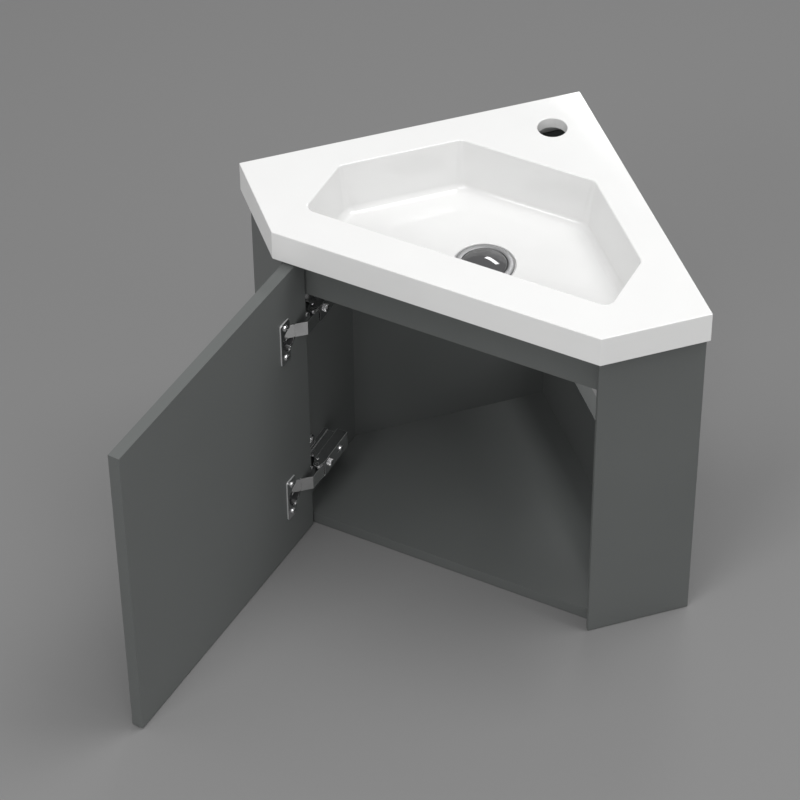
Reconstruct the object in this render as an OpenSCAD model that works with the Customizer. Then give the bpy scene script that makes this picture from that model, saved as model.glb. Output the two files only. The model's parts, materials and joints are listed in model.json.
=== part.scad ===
// Corner vanity unit: a five-sided wash basin over a corner cabinet with one hinged door.
// Origin: on the axis of the basin waste, at the level of the cabinet's underside.
// The two walls meet behind the unit, on the plane x = 0. The front faces -Y and +Z is up.

/* [Basin] */
// Length of the basin along each wall, from the corner
wall_length = 420; // [400:1:460]
// Length of the short side that leaves each wall at a right angle
return_length = 131; // [115:1:140]
// Height of the visible edge of the basin
basin_edge = 40; // [34:1:50]
// Thickness of the flat deck round the bowl
deck_thickness = 14; // [10:0.5:18]
// Thickness of the hanging skirt
skirt_thickness = 14; // [10:0.5:18]
// Thickness of the bowl's shell
shell_thickness = 10; // [8:0.5:12]

/* [Bowl] */
// Width of the deck between each wall and the bowl
wall_deck = 42.5; // [38:0.5:50]
// Distance from the wall corner to the bowl's straight back edge
corner_to_bowl = 145; // [138:1:152]
// How much narrower the bowl is than the basin's front edge, on each side
side_rim = 14.35; // [12:0.05:20]
// Width of the rim in front of the bowl
front_rim = 53.9; // [50:0.1:60]
// Distance from the waste axis to the bowl's front edge
waste_to_rim = 77.7; // [74:0.1:86]
// Depth of the bowl at the waste
bowl_depth = 71; // [66:1:76]
// How much lower the waste lies than the foot of the bowl's walls
floor_fall = 8; // [5:0.5:12]
// How far the walls lean in from the rim to the floor
wall_lean = 9; // [5:0.5:14]
// Rounding of the bowl's upright corners at the rim
corner_radius = 12; // [8:1:20]
// Rounding between the walls and the floor of the bowl
foot_radius = 14; // [9:1:18]
// Rounding of the rim's edge
rim_radius = 2; // [1.5:0.5:5]

/* [Tap hole] */
// Diameter of the tap hole
tap_diameter = 35; // [32:0.5:36]
// Distance from the wall corner to the tap hole
corner_to_tap = 77; // [70:1:84]

/* [Waste] */
// Diameter of the waste's flange
flange_diameter = 67; // [62:0.5:69]
// Diameter of the plug
plug_diameter = 53.4; // [50:0.2:57]
// Height of the plug's dome above its edge
plug_dome = 4.5; // [3:0.5:6]
// Outside diameter of the waste's tail
tail_diameter = 41.9; // [40:0.1:42.5]
// Length of the tail below the flange
tail_length = 78; // [66:1:90]
// Wall of the tail
tail_wall = 2.6; // [2:0.1:4]
// Gap between the tail and the hole in the basin, on the radius
hole_clearance = 1.5; // [1:0.1:3]
// Width of the sunk ring of ceramic round the flange
recess_margin = 3; // [1:0.5:4]

/* [Cabinet] */
// Height of the cabinet
cabinet_height = 436; // [420:1:520]
// Thickness of the panels
panel_thickness = 16; // [15:0.5:18]
// How far the cabinet's short sides stand in from the basin's
side_setback = 11.3; // [8:0.1:16]
// How far the header and the floor stand back from the basin's front
front_setback = 28; // [27:0.5:32]
// How much shorter the cabinet's short sides are than the basin's
return_shortfall = 3.6; // [2:0.1:8]
// How far the short sides run on past the side panels, to their blunt tips
tip_overrun = 10.75; // [7:0.05:13]
// Height of the header rail
header_height = 64; // [50:1:80]
// Height of the low rail at the right-hand wall, above the floor panel
low_rail_height = 111; // [80:1:150]
// Gap between the low rail and the wall
low_rail_gap = 26; // [20:1:32]
// Height of the fixing rail at the right-hand wall
fixing_rail_height = 90; // [70:1:110]
// Diameter of the wall fixing holes
fixing_hole = 8; // [6:0.5:10]
// Diameter of the dowels in the corner joints
dowel_diameter = 6; // [5:0.5:8]

/* [Door] */
// Gap between the door and each side panel
door_side_gap = 3.7; // [3.2:0.1:6]
// Thickness of the door
door_thickness = 14.4; // [14:0.1:16]
// Gap between the door's foot and the underside level
door_foot_gap = 1.5; // [1:0.5:6]
// Gap between the door's head and the basin
door_head_gap = 2.9; // [2:0.1:6]
// Gap between the closed door and the header behind it
door_rear_gap = 4.4; // [3.8:0.1:5]
// Angle at which the door stands open at rest
open_angle = 93; // [0:1:93]

/* [Hinges] */
// Height of the lower hinge above the underside
lower_hinge_height = 88; // [70:1:120]
// Gap between the header rail and the upper hinge's mounting plate
header_clearance = 4; // [2:0.5:60]
// Diameter of the hinge cup
cup_diameter = 35; // [34:0.5:36]
// Depth of the hinge cup
cup_depth = 10.5; // [9:0.5:11]
// Distance from the door's edge to the cup's centre
cup_setback = 38.2; // [37.8:0.1:38.6]
// Height of the flange plate on the door
flange_height = 62; // [58:1:66]
// Width of the flange plate on the door
flange_width = 19; // [18:0.5:22]
// Distance between the two cup screws
cup_screw_spacing = 45; // [42:1:48]
// Height of the link's plate
link_height = 20; // [16:0.5:22]
// Thickness of the link's plate
link_thickness = 1.6; // [1.2:0.1:1.8]
// Diameter of the hinge pin
pin_diameter = 3.2; // [2.6:0.1:3.6]
// Thickness of the arm's sheet metal
arm_sheet = 1.5; // [1:0.1:2]
// Distance between the two mounting plate screws
plate_screw_spacing = 46; // [40:1:48]

/* [Hidden] */
$fn = 64;

// Clearances
cut = 1;            // how far a cutter runs past the face it opens
pin_fit = 0.04;     // running clearance of a pin in its eye, on the radius
seat = 0.1;         // gap round a piece that is seated in a pocket

// Levels of the basin
top_z = cabinet_height + basin_edge;
half_root = sqrt(2);
half_turn = 180;
corner_to_front = (wall_length + return_length) / half_root;
corner_to_waste = corner_to_front - front_rim - waste_to_rim;
front_y = corner_to_waste - corner_to_front;
bowl_half_width = (wall_length - return_length) / half_root - side_rim;
wall_depth = bowl_depth - floor_fall;

// A point in plan: along is the distance from the corner along one wall, out is the distance from that wall.
function wall_point(along, out, side = 1) =
    [side * (along - out) / half_root, corner_to_waste - (along + out) / half_root];

// The five-sided outline that runs parallel to both walls, both short sides and the front.
function five_sides(out, along, front) =
    let (front_x = along * half_root - (corner_to_waste - front))
    [
        [0, corner_to_waste - out * half_root],
        wall_point(along, out, -1),
        [-front_x, front],
        [front_x, front],
        wall_point(along, out)
    ];

// Rounded outlines with a fixed count of points, so that one can be lofted to the next. Each starts in the
// middle of an arc, because the flat ends of a loft are fans from the first point.
arc_steps = 5;
edge_steps = 4;
function unit(v) = v / norm(v);
function rounded_corner(before, here, after, radius) =
    let (
        back = unit(before - here),
        ahead = unit(after - here),
        half = acos(back * ahead) / 2,
        centre = here + unit(back + ahead) * radius / sin(half),
        start = here + back * radius / tan(half) - centre,
        turn = half_turn - 2 * half
    )
    [for (k = [0 : arc_steps]) let (a = turn * k / arc_steps)
        centre + [start.x * cos(a) - start.y * sin(a), start.x * sin(a) + start.y * cos(a)]];
function rounded_outline(corners, radius) =
    let (
        count = len(corners),
        arcs = [for (k = [0 : count - 1])
            rounded_corner(corners[(k + count - 1) % count], corners[k], corners[(k + 1) % count], radius)],
        ring = [for (k = [0 : count - 1]) let (first = arcs[k][arc_steps], next = arcs[(k + 1) % count][0])
            each concat(arcs[k], [for (m = [1 : edge_steps]) first + (next - first) * m / (edge_steps + 1)])],
        start = floor(arc_steps / 2)
    )
    [for (k = [0 : len(ring) - 1]) ring[(k + start) % len(ring)]];

// The bowl's outline, drawn in by inset from the edge of the rim and listed counter-clockwise
function bowl_corners(inset) =
    let (
        out = (wall_deck + inset) * half_root,
        side_x = bowl_half_width - inset,
        back_y = corner_to_waste - corner_to_bowl - inset,
        back_x = corner_to_bowl + inset - out,
        side_y = corner_to_waste - side_x - out,
        rim_y = front_y + front_rim + inset
    )
    [[side_x, rim_y], [side_x, side_y], [back_x, back_y], [-back_x, back_y], [-side_x, side_y], [-side_x, rim_y]];
function bowl_outline(inset, radius) = rounded_outline(bowl_corners(inset), radius);

// A ring of points on a circle round the waste, in the directions of a given outline
function waste_ring(outline, radius) = [for (p = outline) unit(p) * radius];
function raised(outline, z) = [for (p = outline) [p.x, p.y, z]];

// A closed solid through rings that are listed from the top down
module loft(rings) {
    count = len(rings[0]);
    last = len(rings) - 1;
    sides = [for (r = [0 : last - 1], k = [0 : count - 1]) let (next = (k + 1) % count)
        each [
            [r * count + k, r * count + next, (r + 1) * count + next],
            [r * count + k, (r + 1) * count + next, (r + 1) * count + k]
        ]];
    lid = [for (k = [count - 1 : -1 : 0]) k];
    bottom = [for (k = [0 : count - 1]) last * count + k];
    polyhedron(points = [for (ring = rings) each ring], faces = concat([lid], sides, [bottom]), convexity = 6);
}

// Waste: the flange lies in a round recess in the bowl's floor
recess_depth = 2.6;
gasket_thickness = 1;
flange_edge = 2;
flange_z = top_z - bowl_depth - recess_depth + gasket_thickness;
tail_radius = tail_diameter / 2;
plug_radius = plug_diameter / 2;
waste_hole = tail_diameter + 2 * hole_clearance;
recess_radius = flange_diameter / 2 + recess_margin;
flange_rise = 1.2;
flange_bevel = 1.5;
plug_rim_gap = 0.5;
ledge_drop = 3;
ledge_lip = 1;
well_depth = 9;
stem_radius = 4;
spider_thickness = 5;
spider_drop = 30;
spider_z = flange_z - spider_drop;

// Bowl: the hollow and the shell under it
rim_steps = 3;
foot_steps = 4;
land_width = 2;
land_radius = recess_radius + land_width;
foot_corner_growth = 8;
bowl_rim_rings = [for (k = [0 : rim_steps]) let (a = 90 * k / rim_steps)
    raised(bowl_outline(-rim_radius * (1 - sin(a)), corner_radius), top_z - rim_radius * (1 - cos(a)))];
bowl_foot_rings = [for (k = [0 : foot_steps]) let (a = 90 * k / foot_steps)
    raised(
        bowl_outline(wall_lean + foot_radius * (1 - cos(a)), corner_radius + foot_corner_growth),
        top_z - wall_depth + foot_radius * (1 - sin(a))
    )];
foot_outline = bowl_outline(wall_lean + foot_radius, corner_radius + foot_corner_growth);
bowl_floor_ring = raised(waste_ring(foot_outline, land_radius), top_z - bowl_depth);

module bowl_hollow() {
    loft(concat(
        [raised(bowl_outline(-rim_radius, corner_radius), top_z + cut)],
        bowl_rim_rings,
        bowl_foot_rings,
        [bowl_floor_ring]
    ));
}

shell_bottom = top_z - bowl_depth - shell_thickness - recess_depth;
module bowl_shell() {
    shell_corner = corner_radius + foot_corner_growth + shell_thickness;
    foot_inset = wall_lean + foot_radius - shell_thickness * 0.6;
    loft([
        raised(bowl_outline(-shell_thickness, shell_corner), top_z - deck_thickness),
        raised(bowl_outline(wall_lean - shell_thickness, shell_corner), top_z - wall_depth),
        raised(bowl_outline(foot_inset, shell_corner), top_z - wall_depth - shell_thickness),
        raised(waste_ring(foot_outline, land_radius + shell_thickness), shell_bottom)
    ]);
}

// The casting in two pieces that meet under the rim: the flat deck with its hanging skirt, and the bowl
module basin_deck() {
    color("white")
    difference() {
        translate([0, 0, cabinet_height])
            linear_extrude(basin_edge)
                polygon(five_sides(0, wall_length, front_y));
        translate([0, 0, cabinet_height - cut])
            linear_extrude(basin_edge - deck_thickness + cut)
                polygon(five_sides(skirt_thickness, wall_length - skirt_thickness, front_y + skirt_thickness));
        bowl_hollow();
        translate([0, corner_to_waste - corner_to_tap, top_z - deck_thickness - cut])
            cylinder(d = tap_diameter, h = deck_thickness + 2 * cut);
    }
}

module basin_bowl() {
    color("white")
    difference() {
        bowl_shell();
        bowl_hollow();
        translate([0, 0, top_z - bowl_depth - recess_depth])
            cylinder(r = recess_radius, h = recess_depth + cut);
        translate([0, 0, shell_bottom - cut])
            cylinder(d = waste_hole, h = shell_thickness + recess_depth + 2 * cut);
    }
}

module waste_flange() {
    flange_top = flange_edge + flange_rise;
    well_radius = plug_radius + plug_rim_gap;
    bore_radius = tail_radius - tail_wall;
    color("silver")
    translate([0, 0, flange_z])
        rotate_extrude()
            polygon([
                [bore_radius, -tail_length],
                [tail_radius, -tail_length],
                [tail_radius, 0],
                [flange_diameter / 2, 0],
                [flange_diameter / 2, flange_edge],
                [flange_diameter / 2 - flange_bevel, flange_top],
                [well_radius, flange_top - flange_rise / 2],
                [well_radius - ledge_lip, flange_top - ledge_drop],
                [tail_radius - ledge_lip, flange_top - ledge_drop],
                [bore_radius, flange_top - well_depth]
            ]);
}

plug_skirt = 2.2;
plug_bevel = 1.2;
plug_hub_step = 3;
plug_stand = 0.9;
plug_seat_z = flange_z + flange_edge + plug_stand;
stem_overrun = 6;
module waste_plug() {
    dome_radius = (plug_radius ^ 2 + plug_dome ^ 2) / (2 * plug_dome);
    stem_bottom = spider_z - spider_thickness - stem_overrun - plug_seat_z;
    dome_steps = 12;
    dome_angle = asin(plug_radius / dome_radius);
    color("dimgray")
    translate([0, 0, plug_seat_z])
        rotate_extrude($fn = 96)
            polygon(concat(
                [[0, stem_bottom], [stem_radius, stem_bottom], [stem_radius, -plug_skirt]],
                [
                    [tail_radius - plug_hub_step, -plug_skirt],
                    [plug_radius - plug_bevel, -plug_skirt + plug_bevel / 2]
                ],
                [for (k = [0 : dome_steps]) let (a = dome_angle * (1 - k / dome_steps))
                    [dome_radius * sin(a), dome_radius * cos(a) - dome_radius + plug_dome]]
            ));
}

spoke_width = 3;
spider_ring = 2;
spider_hub = 2.5;
spider_fit = 0.05;
module waste_spider() {
    ring_outer = tail_radius - tail_wall - spider_fit;
    ring_inner = ring_outer - spider_ring;
    spoke_start = stem_radius + spider_hub / 2;
    color("lightgray")
    translate([0, 0, spider_z - spider_thickness])
        difference() {
            union() {
                difference() {
                    cylinder(r = ring_outer, h = spider_thickness);
                    translate([0, 0, -cut])
                        cylinder(r = ring_inner, h = spider_thickness + 2 * cut);
                }
                cylinder(r = stem_radius + spider_hub, h = spider_thickness);
                for (a = [90 : 120 : 330])
                    rotate(a)
                        translate([spoke_start, -spoke_width / 2, 0])
                            cube([ring_inner + spider_ring / 2 - spoke_start, spoke_width, spider_thickness]);
            }
            translate([0, 0, -cut])
                cylinder(r = stem_radius + pin_fit, h = spider_thickness + 2 * cut);
        }
}

module flat_ring(outer, inner, height) {
    difference() {
        cylinder(r = outer, h = height);
        translate([0, 0, -cut])
            cylinder(r = inner, h = height + 2 * cut);
    }
}

module flange_gasket() {
    color("black")
    translate([0, 0, flange_z - gasket_thickness])
        flat_ring(flange_diameter / 2 - gasket_thickness, tail_radius + seat, gasket_thickness);
}

tail_gasket_height = 6;
tail_gasket_width = 9;
nut_height = 12;
nut_wall = 7;
grip_width = 5;
grip_height = 9;
grip_depth = 2.5;
module tail_gasket() {
    color("black")
    translate([0, 0, shell_bottom - tail_gasket_height])
        flat_ring(waste_hole / 2 + tail_gasket_width, tail_radius + seat, tail_gasket_height);
}

module tail_nut() {
    nut_radius = tail_radius + nut_wall;
    grip_count = 8;
    color("silver")
    translate([0, 0, shell_bottom - tail_gasket_height - nut_height])
        difference() {
            union() {
                cylinder(r = nut_radius, h = nut_height);
                for (k = [0 : grip_count - 1])
                    rotate(360 / grip_count * k)
                        translate([nut_radius - cut, -grip_width / 2, 0])
                            cube([cut + grip_depth, grip_width, grip_height]);
            }
            translate([0, 0, -cut])
                cylinder(r = tail_radius + seat, h = nut_height + 2 * cut);
        }
}

// Cabinet plan: the short sides lie 'along' from the corner, the side panels run straight to the front
return_along = wall_length - side_setback;
return_inner = return_along - panel_thickness;
return_reach = return_length - return_shortfall;
header_y = front_y + front_setback;
plan_shift = return_inner - return_reach + tip_overrun;
clear_half_width = plan_shift / half_root;

// A point on the inner (step 0) or outer (step 1) face of a side panel, at a distance out from its wall
function side_point(step, out, side) =
    wall_point(out + plan_shift + step * panel_thickness * half_root, out, side);

module side_panel(side) {
    front_out = return_inner - plan_shift;
    outer_out = front_out - panel_thickness * half_root;
    color("dimgray")
    difference() {
        linear_extrude(cabinet_height)
            polygon([
                side_point(0, front_out, side),
                side_point(1, outer_out, side),
                side_point(1, panel_thickness, side),
                side_point(0, panel_thickness, side)
            ]);
        dowel_holes();
        if (side < 0)
            plate_screw_holes();
    }
}

module return_panel(side) {
    color("dimgray")
    linear_extrude(cabinet_height)
        polygon([
            wall_point(return_inner, 0, side),
            wall_point(return_along, 0, side),
            wall_point(return_along, return_reach, side),
            wall_point(return_reach + plan_shift, return_reach, side),
            wall_point(return_inner, return_inner - plan_shift, side)
        ]);
}

module left_side_panel() { side_panel(-1); }
module right_side_panel() { side_panel(1); }
module left_return() { return_panel(-1); }
module right_return() { return_panel(1); }

// Wall fixing holes: places along each wall, at the middle of the fixing rail's height
fixing_z = cabinet_height - fixing_rail_height / 2;
fixing_places = [for (share = [0.31, 0.715]) share * wall_length];
module wall_bores(side) {
    for (along = fixing_places)
        translate(concat(wall_point(along, -cut, side), [fixing_z]))
            rotate([90, 0, -45 * side])
                cylinder(d = fixing_hole, h = panel_thickness + 2 * cut);
}

module left_back_panel() {
    color("dimgray")
    difference() {
        linear_extrude(cabinet_height)
            polygon([
                wall_point(0, 0, -1),
                wall_point(return_inner, 0, -1),
                wall_point(return_inner, panel_thickness, -1),
                wall_point(0, panel_thickness, -1)
            ]);
        wall_bores(-1);
        dowel_holes();
    }
}

module right_fixing_rail() {
    color("dimgray")
    difference() {
        translate([0, 0, cabinet_height - fixing_rail_height])
            linear_extrude(fixing_rail_height)
                polygon([
                    wall_point(panel_thickness, 0),
                    wall_point(return_inner, 0),
                    wall_point(return_inner, panel_thickness),
                    wall_point(panel_thickness, panel_thickness)
                ]);
        wall_bores(1);
    }
}

module right_low_rail() {
    rail_front = low_rail_gap + panel_thickness;
    color("dimgray")
    difference() {
        translate([0, 0, panel_thickness])
            linear_extrude(low_rail_height)
                polygon([
                    wall_point(panel_thickness, low_rail_gap),
                    side_point(0, low_rail_gap, 1),
                    side_point(0, rail_front, 1),
                    wall_point(panel_thickness, rail_front)
                ]);
        dowel_holes();
    }
}

module header_rail() {
    color("dimgray")
    difference() {
        translate([-clear_half_width, header_y, cabinet_height - header_height])
            cube([2 * clear_half_width, panel_thickness, header_height]);
        dowel_holes();
    }
}

module floor_panel() {
    color("gray")
    difference() {
        linear_extrude(panel_thickness)
            polygon([
                [-clear_half_width, header_y],
                [clear_half_width, header_y],
                side_point(0, low_rail_gap, 1),
                wall_point(panel_thickness, low_rail_gap),
                side_point(0, panel_thickness, -1)
            ]);
        dowel_holes();
    }
}

// Dowels: each is [x, y, z, turn], on the joint between two panels. Turn 0 lies along X, 90 stands upright.
dowel_length = 20;
side_dowel_depth = 5;
dowel_z = panel_thickness / 2;
floor_dowel_reach = 90;
side_dowel_y = [header_y + panel_thickness, header_y + floor_dowel_reach];
header_dowel_drops = [header_height / 4, header_height * 3 / 4];
header_dowel_y = header_y + panel_thickness * 0.7;
side_dowels = [for (side = [-1, 1]) each concat(
    [for (y = side_dowel_y) [side * clear_half_width, y, dowel_z]],
    [for (drop = header_dowel_drops) [side * clear_half_width, header_dowel_y, cabinet_height - drop]]
)];
rail_dowel_places = [plan_shift / 3, plan_shift * 5 / 6];
rail_dowel_depth = 10;
rail_dowel_z = panel_thickness - rail_dowel_depth;

module dowels(grow) {
    radius = dowel_diameter / 2 + grow;
    for (d = side_dowels)
        translate([d.x + sign(d.x) * (side_dowel_depth + grow), d.y, d.z])
            rotate([0, -90 * sign(d.x), 0])
                cylinder(r = radius, h = dowel_length + 2 * grow);
    for (along = rail_dowel_places)
        translate(concat(wall_point(along, low_rail_gap + panel_thickness / 2), [rail_dowel_z - grow]))
            cylinder(r = radius, h = 2 * rail_dowel_depth + 2 * grow);
}

module dowel_holes() { dowels(pin_fit); }
module panel_dowels() { color("burlywood") dowels(0); }

// Door: drawn closed, then turned about the pivot line to the angle at which it stands at rest
door_half = clear_half_width - door_side_gap;
door_rear_y = header_y - door_rear_gap;
door_front_y = door_rear_y - door_thickness;
door_height = cabinet_height - door_foot_gap - door_head_gap;
pivot_inset = 7.3;
pivot = [-door_half + pivot_inset, door_rear_y - door_thickness / 2];
module door_pose() {
    translate(pivot)
        rotate(-open_angle)
            translate(-pivot)
                children();
}

wing_tip_radius = 7;
plate_reach = plate_screw_spacing / 2 + wing_tip_radius;
upper_hinge_height = cabinet_height - header_height - header_clearance - plate_reach;
hinge_heights = [lower_hinge_height, upper_hinge_height];
cup_radius = cup_diameter / 2;
cup_x = -door_half + cup_setback;
cup_screw_x = cup_x + flange_width / 2;
screw_core = 1.8;

// Places children at a point of the door's inner face, with their Z axis out of that face
module on_door_face(x, z) {
    translate([x, door_rear_y, z])
        rotate([-90, 0, 0])
            children();
}

module door_panel() {
    color("dimgray")
    door_pose()
        difference() {
            translate([-door_half, door_front_y, door_foot_gap])
                cube([2 * door_half, door_thickness, door_height]);
            for (z = hinge_heights) {
                on_door_face(cup_x, z)
                    translate([0, 0, -cup_depth - seat])
                        cylinder(r = cup_radius + seat, h = cup_depth + seat + cut);
                for (side = [-1, 1])
                    on_door_face(cup_screw_x, z + side * cup_screw_spacing / 2)
                        translate([0, 0, -cup_screw_length - seat])
                            cylinder(r = screw_core + pin_fit, h = cup_screw_length + seat + cut);
            }
        }
}

// Hinge link: the pin stands at the nose of the arm. In plan, with the pin at the origin and the closed door
// lying along X, the link's plate runs from a heel behind the eye to a shoulder and falls from there to its tip.
pin_offset = [12.4, 13.4];
link_pin = pivot + pin_offset;
pin_radius = pin_diameter / 2;
eye_wall = 1.2;
knuckle_radius = pin_radius + eye_wall;
link_heel = [-5, 6.2];
link_shoulder = [20.1, 6.3];
link_tip_y = -4.18;
link_fall = 45;
link_tip_x = link_shoulder.x + (link_shoulder.y - link_tip_y) / tan(link_fall);

// Where the link's tip lies in the door's axes, seen from the cup, when the door is fully open
widest_angle = 93;
function turned_by(p, a) = [p.x * cos(a) - p.y * sin(a), p.x * sin(a) + p.y * cos(a)];
tip_at_cup = pivot + turned_by(pin_offset, widest_angle) + [link_tip_x - cup_x, link_tip_y - door_rear_y];

flange_plate = 2;
flange_corner = 3;
cup_wall = 1;
inner_link_gap = 0.4;
cup_screw_length = 9;
cup_head_height = 2.4;
cup_head_radius = 4.2;

// The fixed inner link: a plate on the cup's floor that carries the slope of the open link on into the cup
module inner_link() {
    top = tip_at_cup.y - inner_link_gap;
    floor_level = cup_wall / 2 - cup_depth;
    across = link_thickness / sin(link_fall);
    top_x = tip_at_cup.x + inner_link_gap / tan(link_fall);
    floor_x = top_x + (top - floor_level) / tan(link_fall);
    intersection() {
        translate([0, 0, -cup_depth])
            cylinder(r = cup_radius - cup_wall / 2, h = cup_depth);
        rotate([90, 0, 0])
            linear_extrude(link_height, center = true)
                polygon([
                    [top_x, top],
                    [floor_x, floor_level],
                    [floor_x - across, floor_level],
                    [top_x - across, top]
                ]);
    }
}

// The pressed cup and its flange plate, which the screws hold to the door's inner face
module hinge_cup(z) {
    color("silver")
    door_pose()
        on_door_face(cup_x, z) {
            difference() {
                union() {
                    translate([0, 0, -cup_depth])
                        cylinder(r = cup_radius, h = cup_depth);
                    linear_extrude(flange_plate)
                        for (x = [flange_corner, flange_width - flange_corner], y = [-1, 1])
                            translate([x, y * (flange_height / 2 - flange_corner)])
                                circle(r = flange_corner);
                    linear_extrude(flange_plate) {
                        translate([0, -flange_height / 2 + flange_corner])
                            square([flange_width, flange_height - 2 * flange_corner]);
                        translate([flange_corner, -flange_height / 2])
                            square([flange_width - 2 * flange_corner, flange_height]);
                    }
                }
                translate([0, 0, -cup_depth + cup_wall])
                    cylinder(r = cup_radius - cup_wall, h = cup_depth + flange_plate + cut);
                for (side = [-1, 1])
                    translate([cup_screw_x - cup_x, side * cup_screw_spacing / 2, -cut])
                        cylinder(r = screw_core + seat, h = flange_plate + 2 * cut);
            }
            inner_link();
        }
}

// A pan-head screw with a cross recess: its Z axis points out of the head
module pan_screw(head_radius, head_height, core, length) {
    slot = head_radius * 0.3;
    difference() {
        union() {
            translate([0, 0, -length])
                cylinder(r = core, h = length);
            cylinder(r = head_radius, h = head_height * 0.55);
            translate([0, 0, head_height * 0.55])
                cylinder(r = head_radius * 0.8, h = head_height * 0.45);
        }
        for (a = [0, 90])
            rotate(a)
                translate([-head_radius * 0.55, -slot / 2, head_height * 0.45])
                    cube([head_radius * 1.1, slot, head_height]);
    }
}

module cup_screws() {
    color("silver")
    door_pose()
        for (z = hinge_heights, side = [-1, 1])
            on_door_face(cup_screw_x, z + side * cup_screw_spacing / 2)
                translate([0, 0, flange_plate])
                    pan_screw(cup_head_radius, cup_head_height, screw_core, cup_screw_length + flange_plate);
}

module link_profile() {
    run = (link_shoulder - link_heel) / norm(link_shoulder - link_heel);
    under_run = [run.y, -run.x];
    under_fall = [-sin(link_fall), -cos(link_fall)];
    under_shoulder = (under_run + under_fall) / (1 + under_run * under_fall);
    difference() {
        union() {
            circle(r = knuckle_radius, $fn = 48);
            polygon([
                [-knuckle_radius, 0],
                [knuckle_radius, 0],
                [2 * knuckle_radius, link_heel.y - link_thickness],
                link_shoulder + under_shoulder * link_thickness,
                [link_tip_x - link_thickness / sin(link_fall), link_tip_y],
                [link_tip_x, link_tip_y],
                link_shoulder,
                link_heel,
                link_heel + under_run * link_thickness
            ]);
        }
        circle(r = pin_radius + pin_fit, $fn = 48);
    }
}

module hinge_link(z) {
    color("lightgray")
    translate(concat(link_pin, [z - link_height / 2]))
        rotate(-open_angle)
            linear_extrude(link_height)
                link_profile();
}

// Hinge arm: a channel of sheet metal whose web faces the room, with a cheek above and below the link
panel_face_x = -clear_half_width;
arm_face_reach = 6.6;
arm_face_x = link_pin.x + arm_face_reach;
arm_back_reach = 6.9;
arm_back_x = link_pin.x - arm_back_reach;
cheek_gap = 0.4;
arm_half_height = link_height / 2 + cheek_gap + arm_sheet;
arm_nose_radius = 4.5;
arm_reach = 65.8;
arm_rear_y = link_pin.y + arm_reach;
web_gap = 7;
web_front_y = link_pin.y + web_gap;
rail_entry = 5;
rail_top_x = arm_back_x + rail_entry;
adjusting_reach = 20.5;
adjusting_y = link_pin.y + adjusting_reach;
fixing_reach = 47.4;
fixing_y = link_pin.y + fixing_reach;
arm_slot_length = 10;
rivet_offset = [-3.9, 8.4];
rivet_radius = 1.5;
rivet_height = 0.8;

// Cheek of the arm in plan: a straight strip that rounds off about the pin
module cheek_profile() {
    difference() {
        union() {
            translate([arm_back_x, web_front_y])
                square([arm_face_x - arm_back_x, arm_rear_y - web_front_y]);
            polygon([
                [arm_back_x, web_front_y],
                [link_pin.x - arm_nose_radius, link_pin.y],
                [link_pin.x + arm_nose_radius, link_pin.y],
                [arm_face_x, web_front_y]
            ]);
            translate(link_pin)
                circle(r = arm_nose_radius, $fn = 48);
        }
        translate(link_pin)
            circle(r = pin_radius + pin_fit, $fn = 48);
    }
}

// Places children on the outer face of the arm's web, with their Z axis towards the room
module on_arm_face(y, z) {
    translate([arm_face_x, y, z])
        rotate([0, 90, 0])
            children();
}

module hinge_arm(z) {
    color("silver")
    difference() {
        union() {
            for (low = [-arm_half_height, arm_half_height - arm_sheet])
                translate([0, 0, z + low])
                    linear_extrude(arm_sheet)
                        cheek_profile();
            translate([arm_face_x - arm_sheet, web_front_y, z - arm_half_height])
                cube([arm_sheet, arm_rear_y - web_front_y, 2 * arm_half_height]);
            for (side = [-1, 1])
                translate(concat(link_pin + rivet_offset, [z + side * (arm_half_height - arm_sheet / 2)]))
                    rotate([half_turn / 2 - side * half_turn / 2, 0, 0])
                        cylinder(r = rivet_radius, h = arm_sheet / 2 + rivet_height);
        }
        on_arm_face(adjusting_y, z)
            translate([0, 0, -arm_sheet - cut])
                cylinder(r = screw_core + seat, h = arm_sheet + 2 * cut);
        on_arm_face(fixing_y, z)
            translate([0, 0, -arm_sheet - cut]) {
                for (end = [-1, 1])
                    translate([0, end * arm_slot_length / 2, 0])
                        cylinder(r = screw_core + seat, h = arm_sheet + 2 * cut);
                translate([-screw_core - seat, -arm_slot_length / 2, 0])
                    cube([2 * (screw_core + seat), arm_slot_length, arm_sheet + 2 * cut]);
            }
    }
}

plate_sheet = 2.5;
wing_reach = 24;
wing_centre_y = link_pin.y + wing_reach;
wing_length = 22;
plate_screw_length = 10;
rail_half_height = 8.5;
rail_front_reach = 12;
rail_rear_gap = 4;
foot_height = 5.2;
foot_half_height = 10;
screw_grip = 8;

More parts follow.
